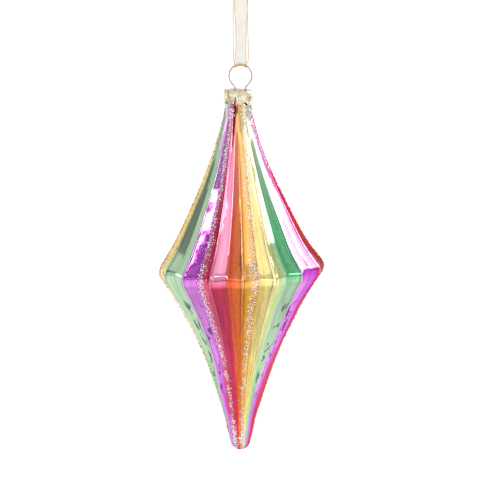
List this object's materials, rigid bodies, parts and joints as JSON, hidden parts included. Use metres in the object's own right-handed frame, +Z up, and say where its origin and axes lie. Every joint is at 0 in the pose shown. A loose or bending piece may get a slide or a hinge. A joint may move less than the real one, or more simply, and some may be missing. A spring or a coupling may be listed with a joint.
{
  "type": "icicle hanging ornament",
  "caption": "Blown glass icicle drop with fluted rainbow panels and glitter lines, hung by a capped wire ring on a sheer ribbon loop.",
  "frame": {"origin": "the top of the inside of the ribbon loop, where a branch or hook holds the ornament", "axes": "+Z up along the drop, the ring's plane is XZ, the ribbon's two strands lie one on each side of it, and the front faces -Y"},
  "size_m": [0.0718, 0.0718, 0.2559],
  "materials": {
    "lacquered_glass": "gloss",
    "pressed_cap_metal": "gloss",
    "spring_wire": "gloss",
    "organza": "satin",
    "glitter_glue": "gloss"
  },
  "bodies": {
    "ribbon": {"hanging_ribbon": "organza", "ribbon_knot": "organza"},
    "hanger": {"wire_hanger": "spring_wire"},
    "cap": {"ornament_cap": "pressed_cap_metal"},
    "glass": {"glass_body": "lacquered_glass", "glitter_line_1": "glitter_glue", "glitter_line_2": "glitter_glue", "glitter_line_3": "glitter_glue", "glitter_line_4": "glitter_glue", "glitter_line_5": "glitter_glue", "glitter_line_6": "glitter_glue", "glitter_line_7": "glitter_glue", "glitter_line_8": "glitter_glue"}
  },
  "joints": [
    {"name": "ring_swing", "type": "hinge", "parent": "ribbon", "child": "hanger", "pos_m": [0, 0, -0.07034], "axis": [1, 0, 0], "range_deg": [-75, 75]},
    {"name": "cap_on_wire", "type": "slide", "parent": "hanger", "child": "cap", "axis": [0, 0, 1], "range_m": [0, 0.0008]},
    {"name": "glass_pull_off", "type": "slide", "parent": "cap", "child": "glass", "axis": [0, 0, 1], "range_m": [-0.03, 0]}
  ]
}
